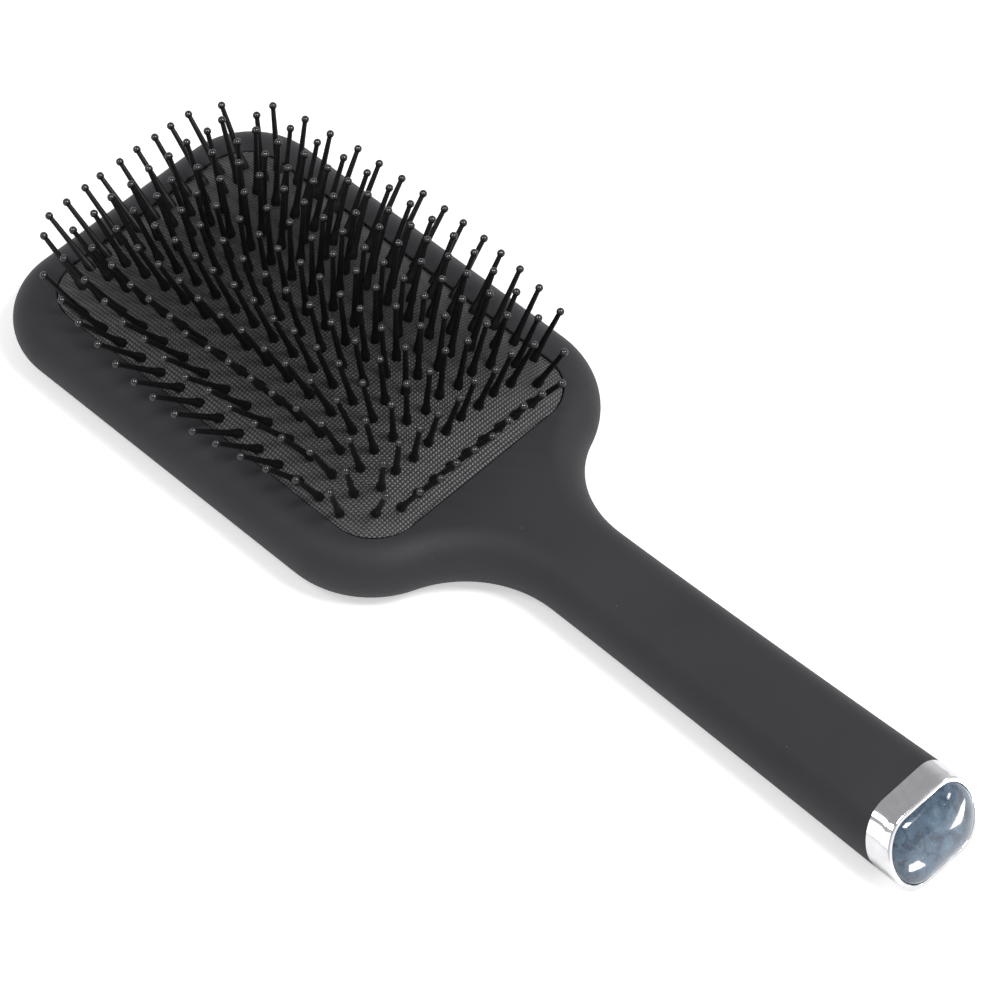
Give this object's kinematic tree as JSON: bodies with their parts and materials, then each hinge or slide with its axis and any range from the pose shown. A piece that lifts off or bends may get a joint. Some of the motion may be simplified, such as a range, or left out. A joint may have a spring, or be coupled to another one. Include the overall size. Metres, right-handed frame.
{
  "type": "paddle brush",
  "caption": "Paddle hair brush with a hollow coated body, domed rubber cushion, ball-tipped pins that sink on sprung slides, and a chrome handle cap with a polished stone.",
  "frame": {"origin": "middle of the head's length and width, on the flat back face", "axes": "+X from the tip of the head towards the handle cap, +Y across the head, +Z out of the back through the pins"},
  "size_m": [0.2453, 0.084, 0.0391],
  "materials": {
    "soft_coat": "matte charcoal soft-touch coat",
    "cushion_rubber": "dark rubber with a fine raised grid",
    "pin_nylon": "black nylon",
    "ball_tip": "glossy dipped ball",
    "frame_plastic": "plain moulded black",
    "screw_steel": "zinc-plated steel",
    "chrome_plate": "polished chrome plate",
    "bed_film": "grey backing film",
    "blue_stone": "polished blue-grey marbled stone"
  },
  "bodies": {
    "brush": {"back_shell": "soft_coat", "front_shell": "soft_coat", "cushion_pad": "cushion_rubber", "pad_frame": "frame_plastic", "frame_screws": "screw_steel", "end_cap": "chrome_plate", "stone_bed": "bed_film", "stone": "blue_stone"},
    "pin_ring_1": {"pins_1": "pin_nylon", "tips_1": "ball_tip"},
    "pin_ring_2": {"pins_2": "pin_nylon", "tips_2": "ball_tip"},
    "pin_ring_3": {"pins_3": "pin_nylon", "tips_3": "ball_tip"},
    "pin_ring_4": {"pins_4": "pin_nylon", "tips_4": "ball_tip"},
    "pin_ring_5": {"pins_5": "pin_nylon", "tips_5": "ball_tip"},
    "pin_ring_6": {"pins_6": "pin_nylon", "tips_6": "ball_tip"},
    "pin_ring_7": {"pins_7": "pin_nylon", "tips_7": "ball_tip"}
  },
  "joints": [
    {"name": "ring_1_sink", "type": "slide", "parent": "brush", "child": "pin_ring_1", "axis": [0, 0, -1], "range_m": [0, 0.0008], "stiffness_N_per_m": 1500, "deforming": ["cushion_pad"]},
    {"name": "ring_2_sink", "type": "slide", "parent": "brush", "child": "pin_ring_2", "axis": [0, 0, -1], "range_m": [0, 0.0017], "stiffness_N_per_m": 600},
    {"name": "ring_3_sink", "type": "slide", "parent": "brush", "child": "pin_ring_3", "axis": [0, 0, -1], "range_m": [0, 0.0024], "stiffness_N_per_m": 600},
    {"name": "ring_4_sink", "type": "slide", "parent": "brush", "child": "pin_ring_4", "axis": [0, 0, -1], "range_m": [0, 0.003], "stiffness_N_per_m": 600},
    {"name": "ring_5_sink", "type": "slide", "parent": "brush", "child": "pin_ring_5", "axis": [0, 0, -1], "range_m": [0, 0.00335], "stiffness_N_per_m": 600},
    {"name": "ring_6_sink", "type": "slide", "parent": "brush", "child": "pin_ring_6", "axis": [0, 0, -1], "range_m": [0, 0.0035], "stiffness_N_per_m": 600},
    {"name": "ring_7_sink", "type": "slide", "parent": "brush", "child": "pin_ring_7", "axis": [0, 0, -1], "range_m": [0, 0.0036], "stiffness_N_per_m": 600}
  ],
  "couplings": [
    {"joint": "ring_2_sink", "follows": "ring_1_sink", "ratio": 2.125},
    {"joint": "ring_3_sink", "follows": "ring_1_sink", "ratio": 3},
    {"joint": "ring_4_sink", "follows": "ring_1_sink", "ratio": 3.75},
    {"joint": "ring_5_sink", "follows": "ring_1_sink", "ratio": 4.1875},
    {"joint": "ring_6_sink", "follows": "ring_1_sink", "ratio": 4.375},
    {"joint": "ring_7_sink", "follows": "ring_1_sink", "ratio": 4.5}
  ]
}
